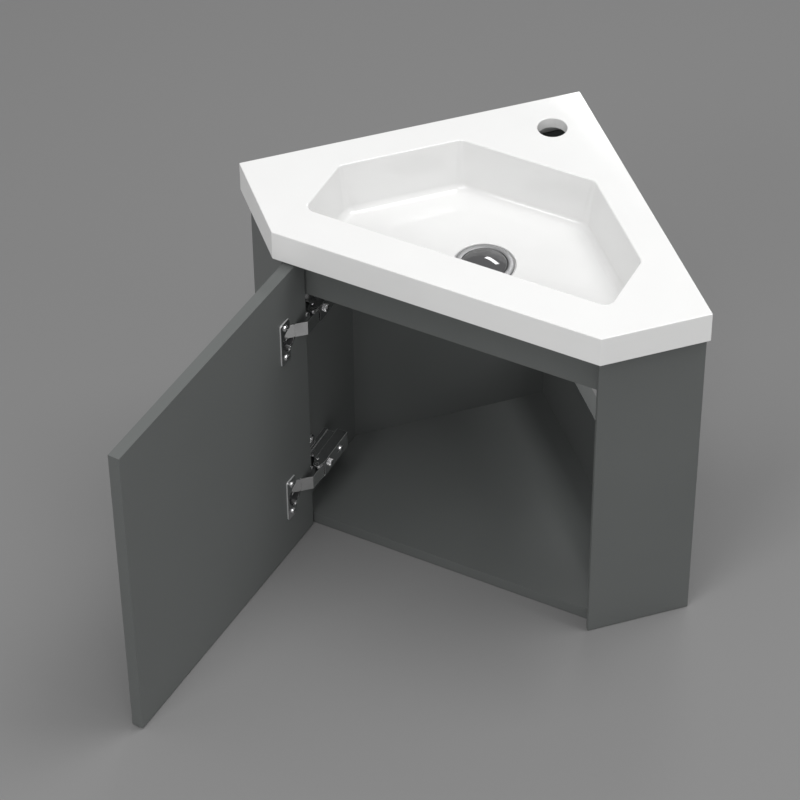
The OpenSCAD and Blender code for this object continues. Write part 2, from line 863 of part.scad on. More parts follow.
// Mounting plate: two wings with a screw each, a low foot and a rail that the arm rides on
module mounting_plate(z) {
    rail_front_y = link_pin.y + rail_front_reach;
    rail_length = arm_rear_y - rail_front_y - rail_rear_gap;
    color("silver")
    difference() {
        union() {
            translate([panel_face_x, wing_centre_y, z])
                rotate([0, 90, 0])
                    linear_extrude(plate_sheet) {
                        for (side = [-1, 1])
                            translate([side * plate_screw_spacing / 2, 0])
                                circle(r = wing_tip_radius);
                        square([plate_screw_spacing, wing_length - wing_tip_radius], center = true);
                        square([2 * (foot_half_height + wing_tip_radius / 4), wing_length], center = true);
                    }
            translate([panel_face_x, rail_front_y, z - foot_half_height])
                cube([foot_height, rail_length, 2 * foot_half_height]);
            translate([panel_face_x, rail_front_y, z - rail_half_height])
                cube([rail_top_x - panel_face_x, rail_length, 2 * rail_half_height]);
        }
        for (side = [-1, 1])
            translate([panel_face_x - cut, wing_centre_y, z + side * plate_screw_spacing / 2])
                rotate([0, 90, 0])
                    cylinder(r = screw_core + seat, h = plate_sheet + 2 * cut);
        for (y = [adjusting_y, fixing_y])
            translate([rail_top_x - screw_grip - seat, y, z])
                rotate([0, 90, 0])
                    cylinder(r = screw_core + pin_fit, h = screw_grip + seat + cut);
    }
}

module plate_screw_places() {
    for (z = hinge_heights, side = [-1, 1])
        translate([panel_face_x, wing_centre_y, z + side * plate_screw_spacing / 2])
            rotate([0, 90, 0])
                children();
}
module plate_screw_holes() {
    plate_screw_places()
        translate([0, 0, -plate_screw_length - seat])
            cylinder(r = screw_core + pin_fit, h = plate_screw_length + seat + cut);
}
module plate_screws() {
    color("silver")
    plate_screw_places()
        translate([0, 0, plate_sheet])
            pan_screw(cup_head_radius, cup_head_height, screw_core, plate_screw_length + plate_sheet);
}

arm_screw_length = arm_face_x - rail_top_x + screw_grip;
knurl_radius = 5;
knurl_height = 3;
knurl_count = 12;
knurl_depth = 0.6;
knurl_width = 1;
cross_reach = 2.6;
cross_width = 1.2;
cross_depth = 0.8;
arm_head_radius = 4.4;
arm_head_height = 2.8;
module arm_adjusting_screws() {
    color("silver")
    for (z = hinge_heights)
        on_arm_face(adjusting_y, z) {
            translate([0, 0, -arm_screw_length])
                cylinder(r = screw_core, h = arm_screw_length);
            difference() {
                cylinder(r = knurl_radius, h = knurl_height);
                for (k = [0 : knurl_count - 1])
                    rotate(360 / knurl_count * k)
                        translate([knurl_radius - knurl_depth, -knurl_width / 2, -cut])
                            cube([2 * knurl_depth, knurl_width, knurl_height + 2 * cut]);
                for (a = [0, 90])
                    rotate(a)
                        translate([-cross_reach, -cross_width / 2, knurl_height - cross_depth])
                            cube([2 * cross_reach, cross_width, cross_depth + cut]);
            }
        }
}

module arm_fixing_screws() {
    color("silver")
    for (z = hinge_heights)
        on_arm_face(fixing_y, z)
            pan_screw(arm_head_radius, arm_head_height, screw_core, arm_screw_length);
}

module hinge_pins() {
    color("silver")
    for (z = hinge_heights)
        translate(concat(link_pin, [z - arm_half_height]))
            cylinder(r = pin_radius, h = 2 * arm_half_height, $fn = 48);
}

module upper_hinge_cup() { hinge_cup(upper_hinge_height); }
module lower_hinge_cup() { hinge_cup(lower_hinge_height); }
module upper_hinge_link() { hinge_link(upper_hinge_height); }
module lower_hinge_link() { hinge_link(lower_hinge_height); }
module upper_hinge_arm() { hinge_arm(upper_hinge_height); }
module lower_hinge_arm() { hinge_arm(lower_hinge_height); }
module upper_mounting_plate() { mounting_plate(upper_hinge_height); }
module lower_mounting_plate() { mounting_plate(lower_hinge_height); }

basin_deck();
basin_bowl();
waste_flange();
waste_plug();
waste_spider();
flange_gasket();
tail_gasket();
tail_nut();
left_back_panel();
left_side_panel();
right_side_panel();
left_return();
right_return();
header_rail();
floor_panel();
right_low_rail();
right_fixing_rail();
panel_dowels();
door_panel();
upper_hinge_cup();
lower_hinge_cup();
cup_screws();
upper_hinge_link();
lower_hinge_link();
upper_hinge_arm();
lower_hinge_arm();
upper_mounting_plate();
lower_mounting_plate();
hinge_pins();
arm_adjusting_screws();
arm_fixing_screws();
plate_screws();
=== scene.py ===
# %% [markdown]
# # A corner vanity unit
# A white ceramic basin with five sides sits on a grey corner cabinet. The door stands open on two
# concealed cup hinges, and a dark plug closes the waste in the bowl.
#
# The solids come in as a frame: each node is one piece, and it rides on a body that can move. Each is
# dressed by a copy with soft edges, or it is made anew where the real piece is finer than its solid,
# as the basin, the waste and the screws are. Sizes are in metres.

# %% Load the frame
import json
import math
import bpy
import bmesh
from mathutils import Matrix, Quaternion, Vector

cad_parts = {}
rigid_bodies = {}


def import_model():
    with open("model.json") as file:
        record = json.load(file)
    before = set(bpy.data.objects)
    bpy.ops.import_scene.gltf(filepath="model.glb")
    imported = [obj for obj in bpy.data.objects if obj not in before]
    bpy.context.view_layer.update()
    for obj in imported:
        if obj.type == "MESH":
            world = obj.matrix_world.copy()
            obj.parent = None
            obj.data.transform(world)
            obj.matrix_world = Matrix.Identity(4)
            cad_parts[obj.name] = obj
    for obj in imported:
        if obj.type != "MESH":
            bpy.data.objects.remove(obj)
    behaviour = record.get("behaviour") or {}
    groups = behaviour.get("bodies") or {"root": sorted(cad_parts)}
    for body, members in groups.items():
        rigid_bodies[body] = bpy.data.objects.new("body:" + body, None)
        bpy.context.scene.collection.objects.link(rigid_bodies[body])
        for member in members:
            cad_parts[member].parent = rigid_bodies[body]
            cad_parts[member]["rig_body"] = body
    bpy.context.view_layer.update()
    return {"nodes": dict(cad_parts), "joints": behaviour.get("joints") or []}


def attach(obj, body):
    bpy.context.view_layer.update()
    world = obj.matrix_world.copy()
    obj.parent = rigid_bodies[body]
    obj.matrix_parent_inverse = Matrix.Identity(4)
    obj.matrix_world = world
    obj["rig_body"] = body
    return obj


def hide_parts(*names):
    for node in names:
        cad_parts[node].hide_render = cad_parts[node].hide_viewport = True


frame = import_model()
MM = 0.001
WELD = 2e-6

# %% [markdown]
# ## Camera
# The photograph looks down from the right with a long lens. A camera placed by eye, or aimed with a
# constraint, puts no edge quite where it is in the photograph. So the angles, the place and the lens
# come from a fit to the straight edges of basin and cabinet.

# %% Camera
AZIMUTH = math.radians(27.2446)
ELEVATION = math.radians(43.0265)
ROLL = math.radians(-0.6013)
CAMERA_PLACE = (1.2589, -2.6602, 2.93805)
LENS = 151.95
forward = Vector((
    -math.sin(AZIMUTH) * math.cos(ELEVATION),
    math.cos(AZIMUTH) * math.cos(ELEVATION),
    -math.sin(ELEVATION),
))
level = forward.cross(Vector((0, 0, 1))).normalized()
upright = level.cross(forward)
right = math.cos(ROLL) * level + math.sin(ROLL) * upright
up = -math.sin(ROLL) * level + math.cos(ROLL) * upright

camera_data = bpy.data.cameras.new("camera")
camera_data.sensor_fit = "HORIZONTAL"
camera_data.sensor_width = 36
camera_data.lens = LENS
camera = bpy.data.objects.new("camera", camera_data)
place = Matrix((right, up, -forward)).transposed().to_4x4()
place.translation = CAMERA_PLACE
camera.matrix_world = place
bpy.context.scene.collection.objects.link(camera)
bpy.context.scene.camera = camera
print("camera looks along", [round(v, 3) for v in forward])

# %% [markdown]
# ## Node graphs in plain Python
# A finish is a graph of shader nodes, and a repeated piece is a graph of geometry nodes. They could be
# clicked together in the editor, or written out link by link. Wrapping a socket in a class with + - *
# and ** lets either be written as an expression, and one method adds every other kind of node.


# %% A value and a graph
class Value:
    """An output socket that works in Python expressions."""

    def __init__(self, graph, socket):
        self.graph = graph
        self.socket = socket

    def maths(self, operation, first, second):
        return self.graph.node("ShaderNodeMath", {"operation": operation}, {0: first, 1: second})

    def __add__(self, other):
        return self.maths("ADD", self, other)

    def __sub__(self, other):
        return self.maths("SUBTRACT", self, other)

    def __rsub__(self, other):
        return self.maths("SUBTRACT", other, self)

    def __mul__(self, other):
        return self.maths("MULTIPLY", self, other)

    def __pow__(self, other):
        return self.maths("POWER", self, other)

    __radd__ = __add__
    __rmul__ = __mul__


class Graph:
    """A node tree that is filled by one method."""

    def node(self, kind, settings, inputs, output=0):
        made = self.tree.nodes.new(kind)
        for key, value in settings.items():
            setattr(made, key, value)
        for key, value in inputs.items():
            self.put(made.inputs[key], value)
        return Value(self, made.outputs[output])

    def put(self, socket, value):
        for one in value if isinstance(value, list) else [value]:
            if isinstance(one, Value):
                self.tree.links.new(one.socket, socket)
            else:
                socket.default_value = one


print("a graph is filled with:", [name for name in vars(Graph) if not name.startswith("_")])

# %% [markdown]
# ## A finish
# Every surface here is one Principled shader, because that one node covers lacquer, glaze, metal and
# rubber. Its patterns read Object coordinates: the piece needs no unwrapping, and the pattern stays
# on the piece when the door swings. What is the same all over the surface is set on the shader itself.


# %% A finish
class Finish(Graph):
    """A material with one Principled shader. Sockets named in fixed keep one value all over."""

    def __init__(self, name, **fixed):
        self.material = bpy.data.materials.new(name)
        self.material.use_nodes = True
        self.tree = self.material.node_tree
        self.shader = self.tree.nodes["Principled BSDF"]
        for socket, value in fixed.items():
            self.shader.inputs[socket.replace("_", " ")].default_value = value
        self.place = self.node("ShaderNodeTexCoord", {}, {}, "Object")

    def noise(self, scale, detail=2.0, stretch=(1, 1, 1)):
        place = self.node("ShaderNodeMapping", {}, {"Vector": self.place, "Scale": stretch})
        inputs = {"Vector": place, "Scale": scale, "Detail": detail}
        return self.node("ShaderNodeTexNoise", {}, inputs, "Fac")

    def between(self, factor, dark, light):
        inputs = {"Factor": factor, 6: (*dark, 1), 7: (*light, 1)}
        return self.node("ShaderNodeMix", {"data_type": "RGBA"}, inputs, 2)

    def surface(self, **sockets):
        for socket, value in sockets.items():
            self.put(self.shader.inputs[socket.replace("_", " ")], value)

    def bump(self, height, strength, distance):
        inputs = {"Height": height, "Strength": strength, "Distance": distance}
        self.surface(Normal=self.node("ShaderNodeBump", {}, inputs))

    def summary(self):
        return f"{self.material.name} of {len(self.tree.nodes)} nodes"


print("a finish has:", [name for name in vars(Finish) if not name.startswith("_")])

# %% [markdown]
# ## Lacquered board
# The cabinet is board under a satin lacquer: dark grey, with a fine skin like that of an orange. Flat
# grey would look like paper. Two noises are enough: a slow one clouds colour and gloss a little, and
# a fine one is the skin.

# %% Lacquered board
lacquer = Finish("grey_lacquer", Specular_IOR_Level=0.25)
cloud = lacquer.noise(7, 3)
peel = lacquer.noise(850, 2)
lacquer.surface(
    Base_Color=lacquer.between(cloud, (0.099, 0.105, 0.103), (0.113, 0.119, 0.117)),
    Roughness=0.40 + 0.10 * cloud + 0.06 * peel,
)
lacquer.bump(peel, 0.10, 0.0002)
print(lacquer.summary())

# %% [markdown]
# ## Glazed ceramic
# The basin is fired clay under a clear glaze. A diffuse and a glossy shader could be mixed for it, but
# the Principled shader holds both: a pale base under one sharp reflection. Real glaze is never quite
# flat, so a slow sway bends its reflections a little.

# %% Glazed ceramic
glaze = Finish("white_glaze", Specular_IOR_Level=0.5)
sway = glaze.noise(22, 2)
speck = glaze.noise(420, 2)
glaze.surface(
    Base_Color=glaze.between(sway, (0.69, 0.69, 0.685), (0.715, 0.715, 0.71)),
    Roughness=0.035 + 0.03 * sway + 0.01 * speck,
)
glaze.bump(sway + 0.05 * speck, 0.12, 0.0006)
print(glaze.summary())

# %% [markdown]
# ## Plated and brushed metal
# The ring of the waste is brushed, the hinges are plated and their links are polished. These metals
# differ only in colour, gloss and grain, so one function makes them all. The rims of pressed parts
# are too round to mirror one thing, and catch light from all sides. Their finish is half metallic for
# that, and it goes on bevels and cut edges alone.


# %% Metals
def metal(name, colour, roughness, streak, stretch, metallic=1.0):
    """A plated or brushed metal: fine streaks in its roughness and a faint bump."""
    finish = Finish(name, Metallic=metallic)
    grain = finish.noise(300, 3, stretch)
    wear = finish.noise(60, 2)
    pale = tuple(min(1, c * 1.08) for c in colour)
    finish.surface(
        Base_Color=finish.between(wear, colour, pale),
        Roughness=roughness + streak * grain,
    )
    finish.bump(grain, 0.06, 0.0001)
    return finish


EVEN = (1, 1, 1)
UPRIGHT_GRAIN = (1, 1, 6)
chrome = metal("brushed_chrome", (0.34, 0.34, 0.345), 0.36, 0.12, EVEN)
hinge_chrome = metal("hinge_plating", (0.70, 0.70, 0.705), 0.09, 0.08, EVEN)
hinge_rim = metal("hinge_rims", (0.72, 0.72, 0.725), 0.28, 0.12, EVEN, 0.5)
link_steel = metal("polished_link", (0.86, 0.86, 0.86), 0.10, 0.08, UPRIGHT_GRAIN)
plain_steel = metal("plain_steel", (0.50, 0.50, 0.51), 0.30, 0.16, EVEN)
for made in (chrome, hinge_chrome, hinge_rim, link_steel, plain_steel):
    print(made.summary())

# %% [markdown]
# ## Dark plating of the plug
# The plug is almost black, with one sharp bar of light. A metal would mirror the pale room all over,
# and turn grey. A dark base under a strong clear reflection stays dark and still shows the bar.

# %% Dark plating
plug_chrome = Finish("dark_chrome", Specular_IOR_Level=1.0)
mist = plug_chrome.noise(60, 2)
plug_chrome.surface(
    Base_Color=plug_chrome.between(mist, (0.055, 0.055, 0.057), (0.062, 0.062, 0.064)),
    Roughness=0.02 + 0.02 * mist,
)
plug_chrome.bump(plug_chrome.noise(300, 3), 0.02, 0.0001)
print(plug_chrome.summary())

# %% [markdown]
# ## Rubber and beech
# Seals and dowels are hidden in the finished unit. Gritty noise is enough for rubber. A thin dowel
# shows no rings of the wood, only long fibre, so one noise is stretched along the grain.

# %% Rubber and beech
rubber = Finish("black_rubber")
grit = rubber.noise(600, 3)
rubber.surface(
    Base_Color=rubber.between(grit, (0.012, 0.012, 0.012), (0.03, 0.03, 0.03)),
    Roughness=0.6 + 0.2 * grit,
)
rubber.bump(grit, 0.2, 0.0002)

beech = Finish("beech")
fibre = beech.noise(120, 4, (1, 1, 0.08))
beech.surface(
    Base_Color=beech.between(fibre, (0.42, 0.27, 0.15), (0.60, 0.43, 0.27)),
    Roughness=0.55 + 0.2 * fibre,
)
beech.bump(fibre, 0.2, 0.0002)
print(rubber.summary(), "and", beech.summary())

# %% [markdown]
# ## Floor and world
# The photograph is a cut-out on plain grey. A grey floor would throw too little light back at the
# cabinet. So the floor is pale for everything that it lights, and grey where the camera, a mirror or
# glass looks at it. The world does the same for the camera alone.


# %% Floor and world
def seen_directly(graph):
    """1 for what the camera, a mirror or glass sees of the floor, and 0 for the light that it gives."""
    path = graph.tree.nodes.new("ShaderNodeLightPath")
    names = ("Is Camera Ray", "Is Glossy Ray", "Is Transmission Ray")
    rays = [Value(graph, path.outputs[name]) for name in names]
    total = rays[0] + rays[1] + rays[2]
    return total.maths("MINIMUM", total, 1.0)


LIT_FLOOR = (0.6, 0.6, 0.6)
SEEN_FLOOR = (0.213, 0.213, 0.213)
ground = Finish("studio_floor", Specular_IOR_Level=0.0, Roughness=0.9)
ground.surface(Base_Color=ground.between(seen_directly(ground), LIT_FLOOR, SEEN_FLOOR))
bpy.ops.mesh.primitive_plane_add(size=24, location=(0, 0, -MM))
floor = bpy.context.object
floor.name = "studio_floor"
floor.data.materials.append(ground.material)

WORLD_LIGHT = 0.4
SEEN_WORLD = 0.216
world = bpy.data.worlds.new("studio")
bpy.context.scene.world = world
world.use_nodes = True
sky = Graph()
sky.tree = world.node_tree
background = sky.tree.nodes["Background"]
background.inputs["Color"].default_value = (1, 1, 1, 1)
by_camera = sky.node("ShaderNodeLightPath", {}, {}, "Is Camera Ray")
seen_or_lit = {"Factor": by_camera, "A": WORLD_LIGHT, "B": SEEN_WORLD}
sky.put(background.inputs["Strength"], sky.node("ShaderNodeMix", {}, seen_or_lit, "Result"))
print("floor seen as", SEEN_FLOOR[0], "and lighting as", LIT_FLOOR[0])

# %% [markdown]
# ## Lamps
# A sun or a spot would cut hard shadows, and a picture of a studio would need a file. Area lamps are
# the studio's own soft boxes: one overhead for the deck, two in front for the edges and the door, and
# one on either side. The last is long and narrow, for the bar of light on the plug. It stands far
# behind the unit, so that its mirror image mostly misses the flat deck, and it is rolled until the
# bar lies as in the photograph.


# %% Soft lamps
def soft_lamp(name, power, size, place, target, roll=0):
    data = bpy.data.lights.new(name, "AREA")
    data.shape = "RECTANGLE"
    data.size, data.size_y = size
    data.energy = power
    lamp = bpy.data.objects.new(name, data)
    lamp.location = place
    aim = (Vector(target) - Vector(place)).to_track_quat("-Z", "Y")
    lamp.rotation_euler = (aim @ Quaternion((0, 0, 1), math.radians(roll))).to_euler()
    bpy.context.scene.collection.objects.link(lamp)


MIDDLE = (0, 0, 0.3)
soft_lamp("top", 40, (1.2, 1.2), (0.8, 0.5, 3.1), MIDDLE)
soft_lamp("key", 22, (1.4, 1.0), (0.2, -1.3, 3.0), MIDDLE)
soft_lamp("front", 35, (1.6, 1.0), (-0.5, -3.0, 2.5), MIDDLE)
soft_lamp("fill", 8, (2.4, 1.6), (-2.6, -1.2, 2.0), MIDDLE)
soft_lamp("side", 13, (1.6, 1.6), (2.6, -0.2, 1.6), (0, 0, 0.25))
soft_lamp("strip", 26.8, (0.45, 1.64), (-0.98, 3.78, 3.53), (0, 0, 0.41), 53)
bpy.context.scene.view_settings.view_transform = "Standard"

# %% [markdown]
# ## From mesh to settled piece
# A piece is done when it is one plain mesh with smooth shading, a finish, a body and the nodes that
# it stands for. Applying modifiers with operators needs the right selection. Taking the evaluated
# mesh needs none.


# %% Helpers for any piece
def new_piece(name, mesh):
    piece = bpy.data.objects.new(name, mesh)
    bpy.context.scene.collection.objects.link(piece)
    return piece


def evaluated(piece):
    """Turns a piece and its modifiers into one plain mesh."""
    view = bpy.context.evaluated_depsgraph_get()
    mesh = bpy.data.meshes.new_from_object(piece.evaluated_get(view))
    piece.modifiers.clear()
    piece.data = mesh
    return piece


def smooth(mesh, angle=32):
    for face in mesh.polygons:
        face.use_smooth = True
    mesh.set_sharp_from_angle(angle=math.radians(angle))


def put_on(piece, finish):
    """Gives a piece one finish, or a list of them, and keeps the faces' marks within that list."""
    finishes = finish if isinstance(finish, list) else [finish]
    marks = [min(face.material_index, len(finishes) - 1) for face in piece.data.polygons]
    piece.data.materials.clear()
    for one in finishes:
        piece.data.materials.append(one.material)
    piece.data.polygons.foreach_set("material_index", marks)


def settle(piece, finish, body, slot, *nodes):
    """Gives a piece its finish, its body and the nodes that it stands for. The slot is not used."""
    put_on(piece, finish)
    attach(piece, body)
    if nodes:
        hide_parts(*nodes)
    return piece


# %% [markdown]
# ## Soft edges
# No made edge is perfectly sharp, and a narrow bevel catches the line of light that the eye expects.
# By hand, each edge would take its turn, so the Bevel modifier picks them by angle. On a hinge cup
# only some may be touched, and those get a weight first.


# %% Bevels
def weigh_edges(piece, limit, wanted):
    """Marks the sharp edges for which wanted(middle) holds, so that only they are bevelled."""
    shape = bmesh.new()
    shape.from_mesh(piece.data)
    weights = shape.edges.layers.float.new("bevel_weight_edge")
    for edge in shape.edges:
        sharp = len(edge.link_faces) == 2 and edge.calc_face_angle() > limit
        if sharp and wanted((edge.verts[0].co + edge.verts[1].co) / 2):
            edge[weights] = 1.0
    shape.to_mesh(piece.data)
    shape.free()


def flat_faces(piece, weight=50):
    """Keeps flat faces flat in the shading."""
    weigh = piece.modifiers.new("flat faces", "WEIGHTED_NORMAL")
    weigh.keep_sharp = True
    weigh.weight = weight
    return evaluated(piece)


def soften(piece, width, segments=2, limit=30, wanted=None, clamp=True):
    """Bevels edges sharper than the limit."""
    bevel = piece.modifiers.new("edges", "BEVEL")
    bevel.width = width
    bevel.segments = segments
    bevel.limit_method = "ANGLE"
    bevel.angle_limit = math.radians(limit)
    if wanted:
        weigh_edges(piece, bevel.angle_limit, wanted)
        bevel.limit_method = "WEIGHT"
    bevel.use_clamp_overlap = clamp
    bevel.material = max(0, len(piece.data.materials) - 1)
    evaluated(piece)
    smooth(piece.data)
    return flat_faces(piece)


print("bevel segments, and limit in degrees:", soften.__defaults__[:2])

# %% [markdown]
# ## Dressed copies of nodes
# A node's own mesh is loose triangles. A bevel on it would cut along every one, and it must not be
# changed. So a copy has its triangles joined and its flat faces made whole, gets its bevel, and
# stands for the node.


# %% Copies
def node_copy(node, name):
    mesh = frame["nodes"][node].data.copy()
    mesh.materials.clear()
    shape = bmesh.new()
    shape.from_mesh(mesh)
    bmesh.ops.remove_doubles(shape, verts=shape.verts, dist=WELD)
    flat = math.radians(0.5)
    bmesh.ops.dissolve_limit(shape, angle_limit=flat, verts=shape.verts, edges=shape.edges)
    shape.to_mesh(mesh)
    shape.free()
    return new_piece(name, mesh)


def dress(node, finish, slot, width):
    """A finished copy of a node. With two finishes, the second one goes on the bevels."""
    piece = node_copy(node, node + "_finished")
    put_on(piece, finish)
    soften(piece, width * MM)
    return settle(piece, finish, frame["nodes"][node]["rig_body"], slot, node)


print("nodes to dress:", len(frame["nodes"]))

# %% [markdown]
# ## Cabinet and door
# The panels are 16 mm board and the door is a plain slab, all lacquered. Boxes made here would need
# each slant and each hole again, and the copies bring them along. A joiner breaks a sawn arris with
# fine paper, so the bevel is only 0.6 mm wide.

# %% Panels
PANELS = [
    "left_back_panel", "left_side_panel", "right_side_panel", "left_return", "right_return",
    "header_rail", "floor_panel", "right_low_rail", "right_fixing_rail", "door_panel",
]
PANEL_EDGE = 0.6
for node in PANELS:
    dress(node, lacquer, "grey_lacquer", PANEL_EDGE)
print("panels:", len(PANELS))

# %% [markdown]
# ## Basin
# The basin is cast in a mould, so its outline is crisp but every edge is rounded, and the bowl's
# walls run into its floor in a soft curve. It could be pulled out of a block with subdivision, but
# then its flat deck would swell. Here the block and the hollow are two exact solids, and one is cut
# out of the other. Sizes run from the axis of the waste, the top of the deck and the wall corner.

# %% Sizes of the basin
TOP = 476 * MM
FOOT = 436 * MM
DECK = 14 * MM
WALL = 420 * MM
SHORT = 131 * MM
FRONT_RIM = 53.9 * MM
WALL_RIM = 42.5 * MM
BACK_RIM = 145 * MM
WASTE_TO_RIM = 77.7 * MM
SIDE_RIM = 14.35 * MM
ROOT = math.sqrt(2)
HALF_BOWL = (WALL - SHORT) / ROOT - SIDE_RIM
CORNER_Y = (WALL + SHORT) / ROOT - FRONT_RIM - WASTE_TO_RIM
FRONT_Y = -FRONT_RIM - WASTE_TO_RIM
print("wall corner at y =", round(CORNER_Y / MM, 1), "mm, front at", round(FRONT_Y / MM, 1), "mm")

# %% [markdown]
# ## Two outlines
# Seen from above, the basin has five sides and the bowl has six. Typed corner points would hide the
# rule behind them, so a function for each works them out from the sizes and an inset.


# %% Outlines of the basin and the bowl
def five_sides(inset):
    """The basin's outline, drawn in by inset on every side, counter-clockwise from above."""
    along, out, front = WALL - inset, inset, FRONT_Y + inset
    half_front = along * ROOT - (CORNER_Y - front)
    side = ((along - out) / ROOT, CORNER_Y - (along + out) / ROOT)
    corner = (0, CORNER_Y - out * ROOT)
    return [(-half_front, front), (half_front, front), side, corner, (-side[0], side[1])]


def bowl_corners(inset):
    """The bowl's six corners, drawn in by inset on every side, counter-clockwise from above."""
    out = (WALL_RIM + inset) * ROOT
    side_x = HALF_BOWL - inset
    back_y = CORNER_Y - BACK_RIM - inset
    back_x = BACK_RIM + inset - out
    side_y = CORNER_Y - side_x - out
    rim_y = FRONT_Y + FRONT_RIM + inset
    half = [(side_x, rim_y), (side_x, side_y), (back_x, back_y)]
    return half + [(-x, y) for x, y in reversed(half)]


print("bowl corners:", [(round(x / MM), round(y / MM)) for x, y in bowl_corners(0)])

# %% [markdown]
# ## Round corners and lofts
# A loft joins one outline to the next, point by point, so every outline needs the same count of
# points, whatever its radius. Each corner gets the same number of steps, and so does each straight
# side. Bridging loops in edit mode would guess which points belong together. Here they are known.

# %% Rounded outlines and lofts
ARC_STEPS = 14
EDGE_STEPS = 10


def rounded(corners, radius):
    """An outline with round corners and the same count of points for any radius."""
    points = []
    arcs = []
    count = len(corners)
    for k, corner in enumerate(corners):
        here = Vector(corner)
        back = (Vector(corners[k - 1]) - here).normalized()
        ahead = (Vector(corners[(k + 1) % count]) - here).normalized()
        half = back.angle(ahead) / 2
        centre = here + (back + ahead).normalized() * radius / math.sin(half)
        start = here + back * radius / math.tan(half) - centre
        turns = [Matrix.Rotation((math.pi - 2 * half) * s / ARC_STEPS, 2) for s in range(ARC_STEPS + 1)]
        arcs.append([centre + turn @ start for turn in turns])
    for k, arc in enumerate(arcs):
        points += arc
        following = arcs[(k + 1) % count][0]
        points += [arc[-1].lerp(following, s / (EDGE_STEPS + 1)) for s in range(1, EDGE_STEPS + 1)]
    return points


def at_height(outline, z):
    return [Vector((p.x, p.y, z)) for p in outline]


def closed(name, shape):
    """Makes a piece of a closed shape whose faces all look outwards."""
    bmesh.ops.recalc_face_normals(shape, faces=shape.faces)
    mesh = bpy.data.meshes.new(name)
    shape.to_mesh(mesh)
    shape.free()
    return new_piece(name, mesh)


def loft(name, rings):
    """A closed solid through rings of equal count, listed from the top down."""
    shape = bmesh.new()
    rows = [[shape.verts.new(p) for p in ring] for ring in rings]
    count = len(rows[0])
    for upper, lower in zip(rows, rows[1:]):
        for k in range(count):
            following = (k + 1) % count
            shape.faces.new((upper[following], upper[k], lower[k], lower[following]))
    shape.faces.new(rows[0])
    shape.faces.new(list(reversed(rows[-1])))
    return closed(name, shape)


print("points on a bowl outline:", len(rounded(bowl_corners(0), 12 * MM)))

# %% [markdown]
# ## The hollow of the bowl
# The bowl has a rounded rim, six walls that lean in a little, a soft curve at their foot and a floor
# that falls to the waste. Sculpting would lose the flat walls. The hollow is lofted ring by ring from
# the rim down: rings at the foot follow a quarter circle, and those of the floor change from the
# outline of the bowl to the circle of the waste.

# %% The hollow of the bowl
LEAN = 9 * MM
RIM_R = 2 * MM
CORNER_R = 12 * MM
FOOT_R = 10 * MM
FOOT_CORNER_R = 20 * MM
WALL_FOOT = TOP - 63 * MM
LAND_Z = TOP - 71 * MM
RECESS_R = 36.5 * MM
LAND_R = RECESS_R + 2 * MM
RIM_ARC = 8
FOOT_ARC = 12
FLOOR_RINGS = 8

rings = [at_height(rounded(bowl_corners(-RIM_R), CORNER_R), TOP + MM)]
for k in range(RIM_ARC + 1):
    a = math.pi / 2 * k / RIM_ARC
    outline = rounded(bowl_corners(-RIM_R * (1 - math.sin(a))), CORNER_R)
    rings.append(at_height(outline, TOP - RIM_R * (1 - math.cos(a))))
for k in range(FOOT_ARC + 1):
    a = math.pi / 2 * k / FOOT_ARC
    outline = rounded(bowl_corners(LEAN + FOOT_R * (1 - math.cos(a))), FOOT_CORNER_R)
    rings.append(at_height(outline, WALL_FOOT + FOOT_R * (1 - math.sin(a))))
foot = rounded(bowl_corners(LEAN + FOOT_R), FOOT_CORNER_R)
for k in range(1, FLOOR_RINGS + 1):
    t = k / FLOOR_RINGS
    fall = t * t * (3 - 2 * t) * 0.5 + t * 0.5
    row = [p.lerp(p.normalized() * LAND_R, t) for p in foot]
    rings.append(at_height(row, WALL_FOOT + (LAND_Z - WALL_FOOT) * fall))
hollow = loft("bowl_hollow", rings)
print("hollow:", len(hollow.data.polygons), "faces")

# %% [markdown]
# ## Block, skirt and shell
# Under its deck a basin is open: a skirt runs round the edge, and the bowl hangs in it as a shell. A
# Solidify modifier would also thicken the deck. So the block has its room cut out from below, the
# shell is added, and the hollow is cut last.


# %% Block, skirt and shell
def prism(name, outline, low, high):
    return loft(name, [at_height([Vector(p) for p in outline], z) for z in (high, low)])


def join_or_cut(piece, other, operation):
    step = piece.modifiers.new("step", "BOOLEAN")
    step.operation = operation
    step.solver = "EXACT"
    step.object = other
    evaluated(piece)
    bpy.data.objects.remove(other)


SKIRT = 14 * MM
ARRIS = 1.2 * MM
basin = prism("basin_casting", five_sides(0), FOOT, TOP)
bevel = basin.modifiers.new("edges", "BEVEL")
bevel.width = ARRIS
bevel.segments = 4
evaluated(basin)
join_or_cut(basin, prism("skirt_room", five_sides(SKIRT), FOOT - MM, TOP - DECK), "DIFFERENCE")

SHELL = 10 * MM
SHELL_CORNER_R = 30 * MM
SHELL_BOTTOM = TOP - 83.6 * MM
below_foot = bowl_corners(LEAN + FOOT_R - 0.6 * SHELL)
shell_rings = [
    at_height(rounded(bowl_corners(-SHELL), SHELL_CORNER_R), TOP - DECK),
    at_height(rounded(bowl_corners(LEAN - SHELL), SHELL_CORNER_R), WALL_FOOT),
    at_height(rounded(below_foot, SHELL_CORNER_R), WALL_FOOT - SHELL),
    at_height([p.normalized() * (LAND_R + SHELL) for p in foot], SHELL_BOTTOM),
]
join_or_cut(basin, loft("bowl_shell", shell_rings), "UNION")
join_or_cut(basin, hollow, "DIFFERENCE")
print("basin with its bowl:", len(basin.data.polygons), "faces")

# %% [markdown]
# ## Tap hole and waste recess
# Both holes are round, with a lip that the glaze has softened. A bevel after the cut would have to
# find the new edge among thousands. Turning the lip into the cutter gives it exactly and at once.


